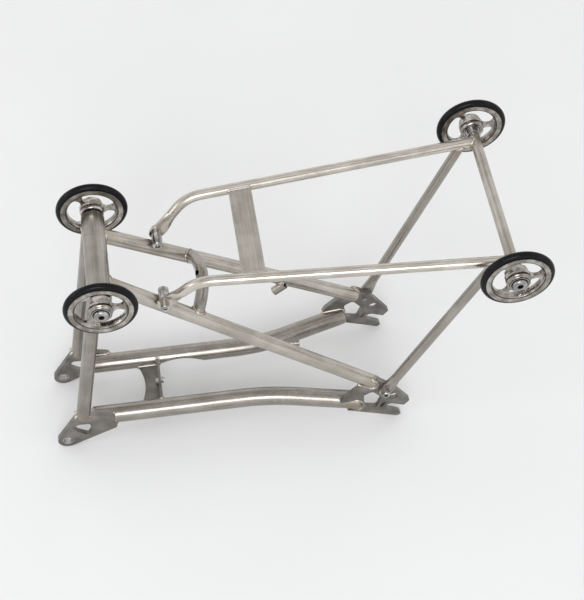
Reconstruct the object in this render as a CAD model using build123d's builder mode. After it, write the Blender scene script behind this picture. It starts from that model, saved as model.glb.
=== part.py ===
from build123d import *
import os
from math import cos, radians, sin

# Rear frame of a folding bicycle, with its luggage rack and four roller wheels, in millimetres.
# Origin: middle of the main pivot axis. +X runs to the rear wheel, +Y to the rider's right, +Z up.
# It stands as it does off the bicycle, on the tips of its pivot plates and of its dropouts.
# Right-hand pieces are modelled, and the left-hand ones are their mirror images.

# %% Driving dimensions: how the frame meets the bicycle
pivot_gap = 74.8  # between the inner faces of the pivot plates
hub_gap = 112.0  # over-locknut width, between the inner faces of the dropouts
axle_x, axle_z = 329.0, 8.1  # rear wheel axle in its slots
plate_thickness = 5.0
pivot_tip_radius = 10.0
pivot_bore_radius = 3.1
bush_radius, bush_sink_radius, bush_sink_depth = 5.6, 4.6, 2.2
axle_slot_radius = 5.0
slot_droop, slot_flare, slot_reach = 28.0, 3.0, 16.0  # degrees, degrees, length
slot_tip_radius = 0.01  # the slot's mouth corners, outside the plate
suspension_hole_radius = 3.25
brake_hole_radius = 3.0

# %% Driving dimensions: the welded tubes
cross_radius, cross_wall = 11.0, 1.3
cross_x, cross_z = 60.8, 226.7  # cross tube at the top of the frame
cross_overhang = 9.1  # past the strut's axis at each side
strut_radius, strut_wall = 7.0, 0.9
strut_foot_x, strut_foot_z = 19.5, 32.0
strut_top_x = 57.2
seatstay_radius, seatstay_wall = 7.0, 0.9
seatstay_front_inset, seatstay_front_rise = 11.3, 1.6  # from the strut's axis, and above the cross tube's
seatstay_rear_back, seatstay_rear_outset, seatstay_rear_up = 14.6, 0.4, 38.7  # from the axle and dropout
chainstay_radius, chainstay_wall = 9.5, 1.0
chainstay_front_x, chainstay_inset, chainstay_front_z = 27.6, 5.0, 23.0  # inset from the pivot plate
chainstay_bend_x, chainstay_bend_z, chainstay_bend_radius = 208.0, 17.3, 230.0
chainstay_rear_back, chainstay_rear_inset, chainstay_rear_up = 28.5, 0.2, 10.7  # from the axle and dropout
chainstay_round, stay_round = 4.0, 4.5  # rims of the closed tube ends
dimple_x, dimple_depth, dimple_length, dimple_edge_radius = 121.0, 5.5, 52.0, 3.0
plate_overlap = 60.0  # how far back from their ends the tubes may cross a dropout
slot_share = 0.78  # width of the dropout's gap outside a tube's end, as a share of the tube's
bridge_radius, bridge_wall = 6.0, 1.2
bridge_along_stay, bridge_rise = 104.0, 18.0
yoke_thickness, yoke_front_x, yoke_middle_x, yoke_rear_x = 2.5, 74.0, 84.5, 98.5
yoke_z, yoke_lip_height, yoke_bolt_rise = 18.8, 7.6, 4.6

# %% Driving dimensions: the rack
rack_radius, rack_wall = 5.0, 1.0
rack_rear_radius, rack_stay_radius = 5.3, 4.8
rack_rear_x, rack_z = 433.3, 235.8
rack_rear_y = 75.8  # where a side tube meets the rear tube
rack_rear_overhang = 6.2  # past the side tube's axis at each side
rack_knee_x, rack_knee_y, rack_knee_radius = 150.0, 51.8, 34.0
boss_along_stay, boss_sink = 62.5, 1.0
boss_radius, boss_inboard, boss_outboard = 5.0, 8.0, 8.0  # ends, from the seat stay's axis
tab_thickness, tab_half_width, tab_straight, tab_taper = 3.0, 6.8, 8.0, 18.0
stay_bolt_back, stay_bolt_up = 6.5, 31.5  # rack stay's bolt, from the axle
stay_top_x = 419.5  # where the rack stay's axis meets the side tube's
rack_plate_x, rack_plate_width, rack_plate_thickness, rack_plate_rise = 201.3, 21.6, 2.0, 2.5
lamp_plate_width, lamp_plate_height, lamp_plate_thickness = 32.0, 18.0, 2.0
lamp_hole_spacing, lamp_hole_radius, lamp_hole_drop = 20.0, 2.1, 14.8  # drops are from the tube's axis
lamp_plate_corner, lamp_plate_sink, lamp_plate_drop = 2.0, 2.5, 10.8

# %% Driving dimensions: the roller wheels
tyre_section_radius, tyre_ring_radius = 3.5, 30.5
rim_outer_radius, rim_inner_radius, rim_half_width = 30.0, 23.6, 4.3
hub_radius, hub_inboard, hub_outboard = 10.8, 7.0, 7.6
spoke_width, spoke_thickness, spoke_count = 4.2, 3.4, 3
bearing_radius, bearing_width = 8.0, 5.0
seal_radius, seal_height = 8.9, 1.6
shank_radius, thread_radius, thread_length = 4.0, 3.0, 12.0
head_radius, head_height = 7.0, 4.6
head_socket_radius, head_socket_depth = 2.9, 2.8
running_gap = 0.05  # radial clearance of a bearing on its bolt
side_gap = 0.3  # axial clearance beside a turning hub
front_wheel_standoff, rear_wheel_standoff = 11.2, 14.2  # from the end of the wheel's tube
plug_length = 14.0
washer_radius, washer_thickness = 6.5, 1.5
spacer_radius = 5.4
hub_lip, rim_chamfer, spoke_fillet, head_round, seal_proud = 1.4, 0.8, 3.2, 2.6, 0.5

# %% Driving dimensions: bolts and cable fittings
bolt_radius = 2.5  # rack bolts, M5
cap_head_radius, cap_head_height = 4.2, 5.0
cap_socket_radius, cap_socket_depth = 2.3, 2.6
yoke_bolt_radius, yoke_head_radius, yoke_head_height = 2.0, 3.4, 3.0
yoke_nut_radius, yoke_nut_height, yoke_bolt_tail = 3.6, 2.6, 4.0
stop_x, stop_length, stop_radius = 232.0, 14.0, 4.5
stop_bore_radius, stop_wire_radius, stop_floor = 2.6, 1.2, 3.0
stop_inward, stop_drop, stop_pitch = 6.9, 9.0, 37.0  # from the seat stay's axis, degrees
guide_x, guide_radius, guide_bore_radius, guide_length = 246.0, 4.0, 2.6, 6.0
guide_sink, guide_tilt = 1.0, 60.0  # depth of its cope, and degrees below the inner side
boss_screw_length, dropout_screw_length = 15.0, 9.0
boss_edge, cap_head_edge = 0.6, 0.5  # chamfers

# %% Outlines of the cut plates, each corner with its own radius
# Pivot plate: circles whose hull is the plate, as x, z and radius.
pivot_plate_circles = [(0, 0, pivot_tip_radius), (17.0, 36.5, 4.5), (48.0, 28.0, 3.5), (47.0, 15.5, 5.0)]
pivot_window = [
    (7.8, 20.4, 1.8), (13.6, 24.8, 2.6), (25.4, 24.0, 2.6),
    (26.6, 15.6, 2.6), (21.6, 5.0, 2.6), (11.2, 13.4, 3.0),
]
# Dropout: corners measured from the axle, as x, z and radius.
dropout_outline = [
    (-52.2, 16.3, 3.0), (-49.4, 23.4, 6.0), (-31.8, 40.6, 6.0), (-34.0, 50.0, 3.0),
    (-12.6, 47.6, 3.0), (4.5, 30.3, 12.0), (19.6, 6.6, 2.4), (13.4, -1.0, 1.6),
    (8.8, -11.0, 0.8), (10.8, -15.4, 1.4), (7.4, -18.1, 1.4), (-48.9, 4.9, 3.0),
]
dropout_window = [
    (-27.4, 6.5, 2.6), (-28.2, 25.0, 3.0), (-19.0, 30.5, 4.0), (-9.3, 17.3, 3.0), (-14.8, 2.2, 2.6),
]
dropout_eye = [(-1.8, 13.4, 2.4), (-1.6, 20.4, 2.8), (5.4, 23.6, 3.2), (7.6, 16.4, 3.0), (4.4, 12.2, 2.6)]
dropout_slit_ends, dropout_slit_radius = [(-9.8, 2.9), (-6.9, 8.0)], 1.9

# %% Places worked out from the driving dimensions
pivot_inner_y = pivot_gap / 2
pivot_outer_y = pivot_inner_y + plate_thickness
strut_y = pivot_inner_y + plate_thickness / 2
cross_half_length = strut_y + cross_overhang
chainstay_y = pivot_inner_y - chainstay_inset
dropout_inner_y = hub_gap / 2
dropout_outer_y = dropout_inner_y + plate_thickness
rack_rear_half_length = rack_rear_y + rack_rear_overhang

strut_foot = Vector(strut_foot_x, strut_y, strut_foot_z)
strut_top = Vector(strut_top_x, strut_y, cross_z)
seatstay_front = Vector(cross_x, strut_y - seatstay_front_inset, cross_z + seatstay_front_rise)
seatstay_rear = Vector(axle_x - seatstay_rear_back, dropout_inner_y + seatstay_rear_outset,
                       axle_z + seatstay_rear_up)
chainstay_front = Vector(chainstay_front_x, chainstay_y, chainstay_front_z)
chainstay_bend = Vector(chainstay_bend_x, chainstay_y, chainstay_bend_z)
chainstay_rear = Vector(axle_x - chainstay_rear_back, dropout_inner_y - chainstay_rear_inset,
                        axle_z + chainstay_rear_up)
rack_corner = Vector(rack_rear_x, rack_rear_y, rack_z)
rack_knee = Vector(rack_knee_x, rack_knee_y, rack_z)

# Side view of the seat stays: their slope, and the direction square to it that points up and back.
seatstay_way = (seatstay_rear - seatstay_front).normalized()
stay_slope = Vector(seatstay_way.X, 0, seatstay_way.Z).normalized()
stay_normal = Vector(-stay_slope.Z, 0, stay_slope.X)
boss_lift = seatstay_radius + boss_radius - boss_sink
boss_middle = (seatstay_front + seatstay_way * boss_along_stay) + stay_normal * boss_lift
bridge_end = seatstay_front + seatstay_way * bridge_along_stay
bridge_plane = Plane(origin=(bridge_end.X, 0, bridge_end.Z), x_dir=(0, 1, 0), z_dir=stay_slope)
boss_inner_y = boss_middle.Y - boss_inboard
boss_outer_y = boss_middle.Y + boss_outboard
rack_foot = Vector(boss_middle.X, boss_outer_y + tab_thickness / 2, boss_middle.Z)
stay_foot = Vector(axle_x - stay_bolt_back, dropout_outer_y + tab_thickness / 2, axle_z + stay_bolt_up)
side_way = rack_corner - rack_knee
stay_top = rack_knee + side_way * ((stay_top_x - rack_knee.X) / side_way.X)


# %% Shared builders
def centre_line(points, bend_radius):
    """Join points by straight runs, with a tangent arc at each corner between them."""
    with BuildLine() as centre:
        if len(points) > 2:
            FilletPolyline(*points, radius=bend_radius)
        else:
            Line(*points)
    return centre.line


def rod(points, radius, bend_radius=1.0):
    """Make a solid round bar along straight runs joined by tangent arcs."""
    path = centre_line(points, bend_radius)
    with BuildPart() as bar:
        with BuildSketch(Plane(origin=path @ 0, z_dir=path % 0)):
            Circle(radius)
        sweep(path=path)
    return bar.part


def shortened(points, start_cut, end_cut):
    """Move the two ends of a run of points inward along their own straights."""
    first = (points[1] - points[0]).normalized()
    last = (points[-2] - points[-1]).normalized()
    return [points[0] + first * start_cut, *points[1:-1], points[-1] + last * end_cut]


def closed_rod(points, radius, closed_ends, end_round, bend_radius=1.0):
    """Make a solid round bar whose closed ends have a rounded rim."""
    with BuildPart() as bar:
        add(rod(points, radius, bend_radius))
        for end in closed_ends:
            rims = bar.edges().filter_by(GeomType.CIRCLE)
            fillet(rims.filter_by(lambda edge: (edge.arc_center - end).length < radius), end_round)
    return bar.part


def rounded_outline(corners, about=(0, 0)):
    """Draw a closed outline with its own radius at each corner."""
    points = [(about[0] + x, about[1] + z) for x, z, _ in corners]
    radii = [radius for _, _, radius in corners]
    with BuildLine() as outline:
        FilletPolyline(*points, radius=radii, close=True)
    return outline.line


def plate_plane(y):
    """Give the plane whose sketches lie in XZ at this distance from the middle."""
    return Plane(origin=(0, y, 0), x_dir=(1, 0, 0), z_dir=(0, -1, 0))


def export_pair(piece, name):
    """Write a right-hand piece and its mirror image."""
    piece.part.label = f"{name}_right"
    export_step(piece.part, f"parts/{name}_right.step")
    with BuildPart() as left:
        add(mirror(piece.part, about=Plane.XZ, mode=Mode.PRIVATE))
    left.part.label = f"{name}_left"
    export_step(left.part, f"parts/{name}_left.step")


def export_one(piece, name):
    """Write a piece that has no twin."""
    piece.part.label = name
    export_step(piece.part, f"parts/{name}.step")


os.makedirs("parts", exist_ok=True)

# %% Solid bars of the tubes' full outer size, which other pieces' ends are coped against
cross_rod = rod([Vector(cross_x, -cross_half_length, cross_z), Vector(cross_x, cross_half_length, cross_z)],
                cross_radius)
seatstay_points = [seatstay_front, seatstay_rear]
seatstay_rod = closed_rod(seatstay_points, seatstay_radius, (seatstay_rear,), stay_round)
strut_points = [strut_foot, strut_top]
strut_rod = closed_rod(strut_points, strut_radius, (strut_foot,), stay_round)
chainstay_points = [chainstay_front, chainstay_bend, chainstay_rear]
chainstay_rod = closed_rod(chainstay_points, chainstay_radius, (chainstay_front, chainstay_rear),
                           chainstay_round, chainstay_bend_radius)
side_rod = rod([rack_knee, rack_corner], rack_radius)
rear_rod = rod([Vector(rack_rear_x, -rack_rear_half_length, rack_z),
                Vector(rack_rear_x, rack_rear_half_length, rack_z)], rack_rear_radius)

# %% Cross tube, open at both ends for the wheel plugs and drilled for the suspension bolt
with BuildPart() as cross_tube:
    add(cross_rod)
    with BuildSketch(plate_plane(cross_half_length)):
        with Locations((cross_x, cross_z)):
            Circle(cross_radius - cross_wall)
    extrude(amount=2 * cross_half_length, mode=Mode.SUBTRACT)
    with BuildSketch(Plane.YZ.offset(cross_x - 2 * cross_radius)):
        with Locations((0, cross_z)):
            Circle(suspension_hole_radius)
    extrude(amount=4 * cross_radius, mode=Mode.SUBTRACT)
export_one(cross_tube, "cross_tube")

# %% Pivot plate: the hull of four rounded corners, with a window and a seat for the bush
with BuildPart() as pivot_plate:
    with BuildSketch(plate_plane(pivot_outer_y)):
        for x, z, radius in pivot_plate_circles:
            with Locations((x, z)):
                Circle(radius)
        make_hull()
        with Locations((0, 0)):
            Circle(bush_radius, mode=Mode.SUBTRACT)
    extrude(amount=plate_thickness)
    with BuildSketch(plate_plane(pivot_outer_y)):
        make_face(rounded_outline(pivot_window).edges())
    extrude(amount=plate_thickness, mode=Mode.SUBTRACT)
export_pair(pivot_plate, "pivot_plate")

# %% Pivot bush: a pressed ring, sunk on the outside for the pivot bolt's head
with BuildPart() as pivot_bush:
    with BuildSketch(plate_plane(pivot_outer_y)):
        Circle(bush_radius)
        Circle(pivot_bore_radius, mode=Mode.SUBTRACT)
    extrude(amount=plate_thickness)
    with BuildSketch(plate_plane(pivot_outer_y)):
        Circle(bush_sink_radius)
    extrude(amount=bush_sink_depth, mode=Mode.SUBTRACT)
export_pair(pivot_bush, "pivot_bush")

# %% Dropout: a plate with an axle slot that opens back and down, three windows, and two gaps that
# the rounded ends of the chainstay and seat stay stand in
with BuildPart() as dropout:
    with BuildSketch(plate_plane(dropout_outer_y)):
        make_face(rounded_outline(dropout_outline, (axle_x, axle_z)).edges())
    extrude(amount=plate_thickness)
    with BuildSketch(plate_plane(dropout_outer_y)) as slot:
        with Locations((axle_x, axle_z)):
            Circle(axle_slot_radius)
        for side in (1, -1):
            lean = radians(slot_droop - side * slot_flare)
            start_x = axle_x + side * axle_slot_radius * sin(lean)
            start_z = axle_z + side * axle_slot_radius * cos(lean)
            with Locations((start_x + slot_reach * cos(lean), start_z - slot_reach * sin(lean))):
                Circle(slot_tip_radius)
        make_hull()
    extrude(amount=plate_thickness, mode=Mode.SUBTRACT)
    with BuildSketch(plate_plane(dropout_outer_y)):
        make_face(rounded_outline(dropout_window, (axle_x, axle_z)).edges())
        make_face(rounded_outline(dropout_eye, (axle_x, axle_z)).edges())
        with Locations((axle_x - stay_bolt_back, axle_z + stay_bolt_up)):
            Circle(bolt_radius)
    extrude(amount=plate_thickness, mode=Mode.SUBTRACT)
    with BuildSketch(plate_plane(dropout_outer_y)):
        for x, z in dropout_slit_ends:
            with Locations((axle_x + x, axle_z + z)):
                Circle(dropout_slit_radius)
        make_hull()
    extrude(amount=plate_thickness, mode=Mode.SUBTRACT)
    for tube, points, radius in ((chainstay_rod, chainstay_points, chainstay_radius),
                                 (seatstay_rod, seatstay_points, seatstay_radius)):
        add(tube, mode=Mode.SUBTRACT)
        gap = radius * slot_share
        with BuildSketch(plate_plane(dropout_outer_y)):
            for point in (shortened(points, 0, gap)[-1], shortened(points, 0, plate_overlap)[-1]):
                with Locations((point.X, point.Z)):
                    Circle(gap)
            make_hull()
        extrude(amount=plate_thickness, mode=Mode.SUBTRACT)
export_pair(dropout, "dropout")

# %% Front strut: slotted over the pivot plate and coped to the cross tube
with BuildPart() as front_strut:
    add(strut_rod)
    bore_points = shortened(strut_points, strut_wall, 0)
    add(closed_rod(bore_points, strut_radius - strut_wall, bore_points[:1], stay_round - strut_wall),
        mode=Mode.SUBTRACT)
    add(cross_rod, mode=Mode.SUBTRACT)
    add(seatstay_rod, mode=Mode.SUBTRACT)
    add(pivot_plate.part, mode=Mode.SUBTRACT)
export_pair(front_strut, "front_strut")

# %% Seat stay: coped to the cross tube and slotted over the dropout
with BuildPart() as seatstay:
    add(seatstay_rod)
    bore_points = shortened(seatstay_points, 0, seatstay_wall)
    add(closed_rod(bore_points, seatstay_radius - seatstay_wall, bore_points[1:], stay_round - seatstay_wall),
        mode=Mode.SUBTRACT)
    add(cross_rod, mode=Mode.SUBTRACT)
export_pair(seatstay, "seatstay")

# %% Chainstay: bent outward to the dropout, and crimped inward for the tyre
dimple_along = (chainstay_bend - chainstay_front).normalized()
dimple_at = chainstay_front + dimple_along * (dimple_x - chainstay_front.X)
dimple_way = Vector(0, -1, -1).normalized()
dimple_across = dimple_along.cross(dimple_way) * 2 * chainstay_radius
dimple_radius = (dimple_length**2 / 4 + dimple_depth**2) / (2 * dimple_depth)
dimple_middle = dimple_at + dimple_way * (chainstay_radius - dimple_depth + dimple_radius)
dimple_ends = [dimple_middle - dimple_across, dimple_middle + dimple_across]
with BuildPart() as chainstay_bore:
    bore_points = shortened(chainstay_points, chainstay_wall, chainstay_wall)
    add(closed_rod(bore_points, chainstay_radius - chainstay_wall, (bore_points[0], bore_points[-1]),
                   chainstay_round - chainstay_wall, chainstay_bend_radius))
    add(rod(dimple_ends, dimple_radius + chainstay_wall), mode=Mode.SUBTRACT)
with BuildPart() as chainstay:
    add(chainstay_rod)
    add(rod(dimple_ends, dimple_radius), mode=Mode.SUBTRACT)
    rim_edges = chainstay.edges().filter_by(lambda edge: (edge.center() - dimple_at).length < dimple_length)
    fillet(rim_edges.filter_by(GeomType.CIRCLE, reverse=True).filter_by(GeomType.LINE, reverse=True),
           dimple_edge_radius)
    add(chainstay_bore.part, mode=Mode.SUBTRACT)
    add(pivot_plate.part, mode=Mode.SUBTRACT)
export_pair(chainstay, "chainstay")

# %% Brake bridge: an arched tube between the seat stays, drilled in the middle for the brake bolt
with BuildPart() as brake_bridge:
    with BuildLine(bridge_plane) as arch:
        ThreePointArc((-bridge_end.Y, 0), (0, bridge_rise), (bridge_end.Y, 0))
    for bore, mode in ((bridge_radius, Mode.ADD), (bridge_radius - bridge_wall, Mode.SUBTRACT)):
        with BuildSketch(Plane(origin=arch.line @ 0, z_dir=arch.line % 0)):
            Circle(bore)
        sweep(path=arch.line, mode=mode)
    with BuildSketch(bridge_plane.offset(-2 * bridge_radius)):
        with Locations((0, bridge_rise)):
            Circle(brake_hole_radius)
    extrude(amount=4 * bridge_radius, mode=Mode.SUBTRACT)
    add(seatstay_rod, mode=Mode.SUBTRACT)
    add(mirror(seatstay_rod, about=Plane.XZ, mode=Mode.PRIVATE), mode=Mode.SUBTRACT)
export_one(brake_bridge, "brake_bridge")

# %% Chainstay yoke: a flat web with a hollowed front edge and an upright lip at the back
with BuildPart() as chainstay_yoke:
    with BuildSketch(Plane.XY.offset(yoke_z - yoke_thickness / 2)):
        with BuildLine():
            front = ThreePointArc((yoke_front_x, -chainstay_y), (yoke_middle_x, 0),
                                  (yoke_front_x, chainstay_y))
            Polyline(front @ 1, (yoke_rear_x, chainstay_y), (yoke_rear_x, -chainstay_y), front @ 0)
        make_face()
    extrude(amount=yoke_thickness)
    with BuildSketch(Plane.YZ.offset(yoke_rear_x)):
        with Locations((0, yoke_z - yoke_thickness / 2)):
            Rectangle(2 * chainstay_y, yoke_lip_height + yoke_thickness, align=(Align.CENTER, Align.MIN))
    extrude(amount=yoke_thickness)
    with BuildSketch(Plane.YZ.offset(yoke_rear_x)):
        with Locations((0, yoke_z + yoke_bolt_rise)):
            Circle(yoke_bolt_radius)
    extrude(amount=yoke_thickness, mode=Mode.SUBTRACT)
    for chainstay_side in (chainstay_rod, mirror(chainstay_rod, about=Plane.XZ, mode=Mode.PRIVATE)):
        add(chainstay_side, mode=Mode.SUBTRACT)
export_one(chainstay_yoke, "chainstay_yoke")

# %% Yoke bolt and nut: the stop screw of the fold, its head inside the lip and its nut behind
yoke_bolt_plane = Plane.YZ.offset(yoke_rear_x)
with BuildPart() as yoke_bolt:
    with BuildSketch(yoke_bolt_plane):
        with Locations((0, yoke_z + yoke_bolt_rise)):
            RegularPolygon(yoke_head_radius, 6)
    extrude(amount=-yoke_head_height)
    with BuildSketch(yoke_bolt_plane):
        with Locations((0, yoke_z + yoke_bolt_rise)):
            Circle(yoke_bolt_radius)
    extrude(amount=yoke_thickness + yoke_bolt_tail)
export_one(yoke_bolt, "yoke_bolt")

with BuildPart() as yoke_nut:
    with BuildSketch(yoke_bolt_plane.offset(yoke_thickness)):
        with Locations((0, yoke_z + yoke_bolt_rise)):
            RegularPolygon(yoke_nut_radius, 6)
            Circle(yoke_bolt_radius, mode=Mode.SUBTRACT)
    extrude(amount=yoke_nut_height)
export_one(yoke_nut, "yoke_nut")

# %% Rack bosses: threaded barrels coped onto the seat stays
with BuildPart() as rack_boss:
    with BuildSketch(plate_plane(boss_outer_y)):
        with Locations((boss_middle.X, boss_middle.Z)):
            Circle(boss_radius)
            Circle(bolt_radius, mode=Mode.SUBTRACT)
    extrude(amount=boss_outer_y - boss_inner_y)
    inner_rims = rack_boss.edges().filter_by(GeomType.CIRCLE).sort_by(Axis.Y)[0:2]
    chamfer(inner_rims.sort_by(SortBy.RADIUS)[-1], boss_edge)
    add(seatstay_rod, mode=Mode.SUBTRACT)
export_pair(rack_boss, "rack_boss")


# %% Rack tubes with flattened, drilled ends
def flat_end(foot, toward, radius):
    """Make the flattened end of a tube: a drilled tab that swells into the round tube."""
    way = toward - foot
    along = Vector(way.X, 0, way.Z).normalized()
    neck = foot + along * tab_straight
    round_start = foot + way.normalized() * (tab_straight + tab_taper)
    with BuildPart() as tab:
        with BuildSketch(Plane(origin=foot - Vector(0, tab_thickness / 2, 0), x_dir=along, z_dir=(0, 1, 0))):
            Circle(tab_half_width)
            Rectangle(tab_straight, 2 * tab_half_width, align=(Align.MIN, Align.CENTER))
        extrude(amount=tab_thickness)
        with BuildSketch(Plane(origin=neck, x_dir=(0, 1, 0), z_dir=along)):
            Rectangle(tab_thickness, 2 * tab_half_width)
        with BuildSketch(Plane(origin=round_start, x_dir=(0, 1, 0), z_dir=way)):
            Circle(radius)
        loft()
        with BuildSketch(plate_plane(foot.Y + tab_thickness)):
            with Locations((foot.X, foot.Z)):
                Circle(bolt_radius)
        extrude(amount=2 * tab_thickness, mode=Mode.SUBTRACT)
    return tab.part, round_start


side_tab, side_start = flat_end(rack_foot, rack_knee, rack_radius)
side_points = [side_start, rack_knee, rack_corner]
with BuildPart() as rack_side_tube:
    add(rod(side_points, rack_radius, rack_knee_radius))
    add(rod(side_points, rack_radius - rack_wall, rack_knee_radius), mode=Mode.SUBTRACT)
    add(side_tab)
    add(rear_rod, mode=Mode.SUBTRACT)
export_pair(rack_side_tube, "rack_side_tube")

stay_tab, stay_start = flat_end(stay_foot, stay_top, rack_stay_radius)
stay_points = [stay_start, stay_top]
with BuildPart() as rack_stay:
    add(rod(stay_points, rack_stay_radius))
    add(rod(stay_points, rack_stay_radius - rack_wall), mode=Mode.SUBTRACT)
    add(stay_tab)
    add(side_rod, mode=Mode.SUBTRACT)
export_pair(rack_stay, "rack_stay")

with BuildPart() as rack_rear_tube:
    add(rear_rod)
    with BuildSketch(plate_plane(rack_rear_half_length)):
        with Locations((rack_rear_x, rack_z)):
            Circle(rack_rear_radius - rack_wall)
    extrude(amount=2 * rack_rear_half_length, mode=Mode.SUBTRACT)
export_one(rack_rear_tube, "rack_rear_tube")

# %% Rack plate: a flat strap let in between the side tubes
plate_share = (rack_plate_x - rack_knee.X) / (rack_corner.X - rack_knee.X)
side_at_plate = rack_knee + (rack_corner - rack_knee) * plate_share
with BuildPart() as rack_plate:
    with Locations((rack_plate_x, 0, rack_z + rack_plate_rise)):
        Box(rack_plate_width, 2 * side_at_plate.Y, rack_plate_thickness,
            align=(Align.CENTER, Align.CENTER, Align.MAX))
    for side in (side_rod, mirror(side_rod, about=Plane.XZ, mode=Mode.PRIVATE)):
        add(side, mode=Mode.SUBTRACT)
export_one(rack_plate, "rack_plate")

# %% Lamp plate on the back of the rear tube
lamp_plate_x = rack_rear_x + rack_rear_radius - lamp_plate_sink
with BuildPart() as lamp_plate:
    with BuildSketch(Plane.YZ.offset(lamp_plate_x)) as lamp_face:
        with Locations((0, rack_z - lamp_plate_drop)):
            RectangleRounded(lamp_plate_width, lamp_plate_height, lamp_plate_corner)
        with Locations((0, rack_z - lamp_hole_drop)):
            with GridLocations(lamp_hole_spacing, 1, 2, 1):
                Circle(lamp_hole_radius, mode=Mode.SUBTRACT)
    extrude(amount=lamp_plate_thickness)
    add(rear_rod, mode=Mode.SUBTRACT)
export_one(lamp_plate, "lamp_plate")

# %% Cable fittings: a stop barrel under the right seat stay and a guide under the right chainstay
stop_way = Vector(-cos(radians(stop_pitch)), 0, -sin(radians(stop_pitch)))
stay_at_stop = seatstay_front + seatstay_way * ((stop_x - seatstay_front.X) / seatstay_way.X)
stop_middle = stay_at_stop - Vector(0, stop_inward, stop_drop)
stop_back = stop_middle - stop_way * stop_length / 2
stop_front = stop_middle + stop_way * stop_length / 2
with BuildPart() as cable_stop:
    add(rod([stop_back, stop_front], stop_radius))
    add(rod([stop_back, stop_front], stop_wire_radius), mode=Mode.SUBTRACT)
    add(rod([stop_back, stop_front - stop_way * stop_floor], stop_bore_radius), mode=Mode.SUBTRACT)
    add(seatstay_rod, mode=Mode.SUBTRACT)
export_one(cable_stop, "cable_stop")

guide_share = (guide_x - chainstay_bend.X) / (chainstay_rear.X - chainstay_bend.X)
stay_at_guide = chainstay_bend + (chainstay_rear - chainstay_bend) * guide_share
guide_reach = chainstay_radius + guide_radius - guide_sink
guide_middle = stay_at_guide - Vector(0, cos(radians(guide_tilt)), sin(radians(guide_tilt))) * guide_reach
guide_half = Vector(guide_length / 2, 0, 0)
with BuildPart() as cable_guide:
    add(rod([guide_middle - guide_half, guide_middle + guide_half], guide_radius))
    add(rod([guide_middle - guide_half, guide_middle + guide_half], guide_bore_radius), mode=Mode.SUBTRACT)
    add(chainstay_rod, mode=Mode.SUBTRACT)
export_one(cable_guide, "cable_guide")


# %% Rack bolts: socket cap screws, one kind at the bosses and one at the dropouts
def cap_screw(seat, length):
    """Make a socket cap screw that points to the middle, its head seated at this place."""
    with BuildPart() as screw:
        with BuildSketch(Plane(origin=seat, x_dir=(1, 0, 0), z_dir=(0, 1, 0))):
            Circle(cap_head_radius)
        extrude(amount=cap_head_height)
        chamfer(screw.edges().filter_by(GeomType.CIRCLE).sort_by(Axis.Y)[-1], cap_head_edge)
        head_top = seat + Vector(0, cap_head_height, 0)
        with BuildSketch(Plane(origin=head_top, x_dir=(1, 0, 0), z_dir=(0, 1, 0))):
            RegularPolygon(cap_socket_radius, 6)
        extrude(amount=-cap_socket_depth, mode=Mode.SUBTRACT)
        with BuildSketch(Plane(origin=seat, x_dir=(1, 0, 0), z_dir=(0, 1, 0))):
            Circle(bolt_radius)
        extrude(amount=-length)
    return screw.part


def export_both(piece, name):
    """Write a right-hand piece and its mirror image as two solids of one node."""
    with BuildPart() as both:
        add(piece)
        add(mirror(piece, about=Plane.XZ, mode=Mode.PRIVATE))
    both.part.label = name
    export_step(both.part, f"parts/{name}.step")


boss_seat = rack_foot + Vector(0, tab_thickness / 2, 0)
dropout_seat = stay_foot + Vector(0, tab_thickness / 2, 0)
export_both(cap_screw(boss_seat, boss_screw_length), "rack_front_bolts")
export_both(cap_screw(dropout_seat, dropout_screw_length), "rack_stay_bolts")


# %% Roller wheels: rim with hub and spokes, ring tyre, two bearings and two seals
def wheel_plane(middle, outward):
    """Give a sketch plane square to a wheel's axle, at this distance outward from its middle."""
    return Plane(origin=middle + Vector(0, outward, 0), x_dir=(1, 0, 0), z_dir=(0, 1, 0))


outer_bearing_face = hub_outboard - seal_height
inner_bearing_face = -(hub_inboard - seal_height)


def ring(middle, start, end, outer_radius, bore_radius):
    """Make a ring around a wheel's axle between two distances outward from its middle."""
    with BuildPart() as band:
        with BuildSketch(wheel_plane(middle, start)):
            Circle(outer_radius)
            Circle(bore_radius, mode=Mode.SUBTRACT)
        extrude(amount=end - start)
    return band.part


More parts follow.
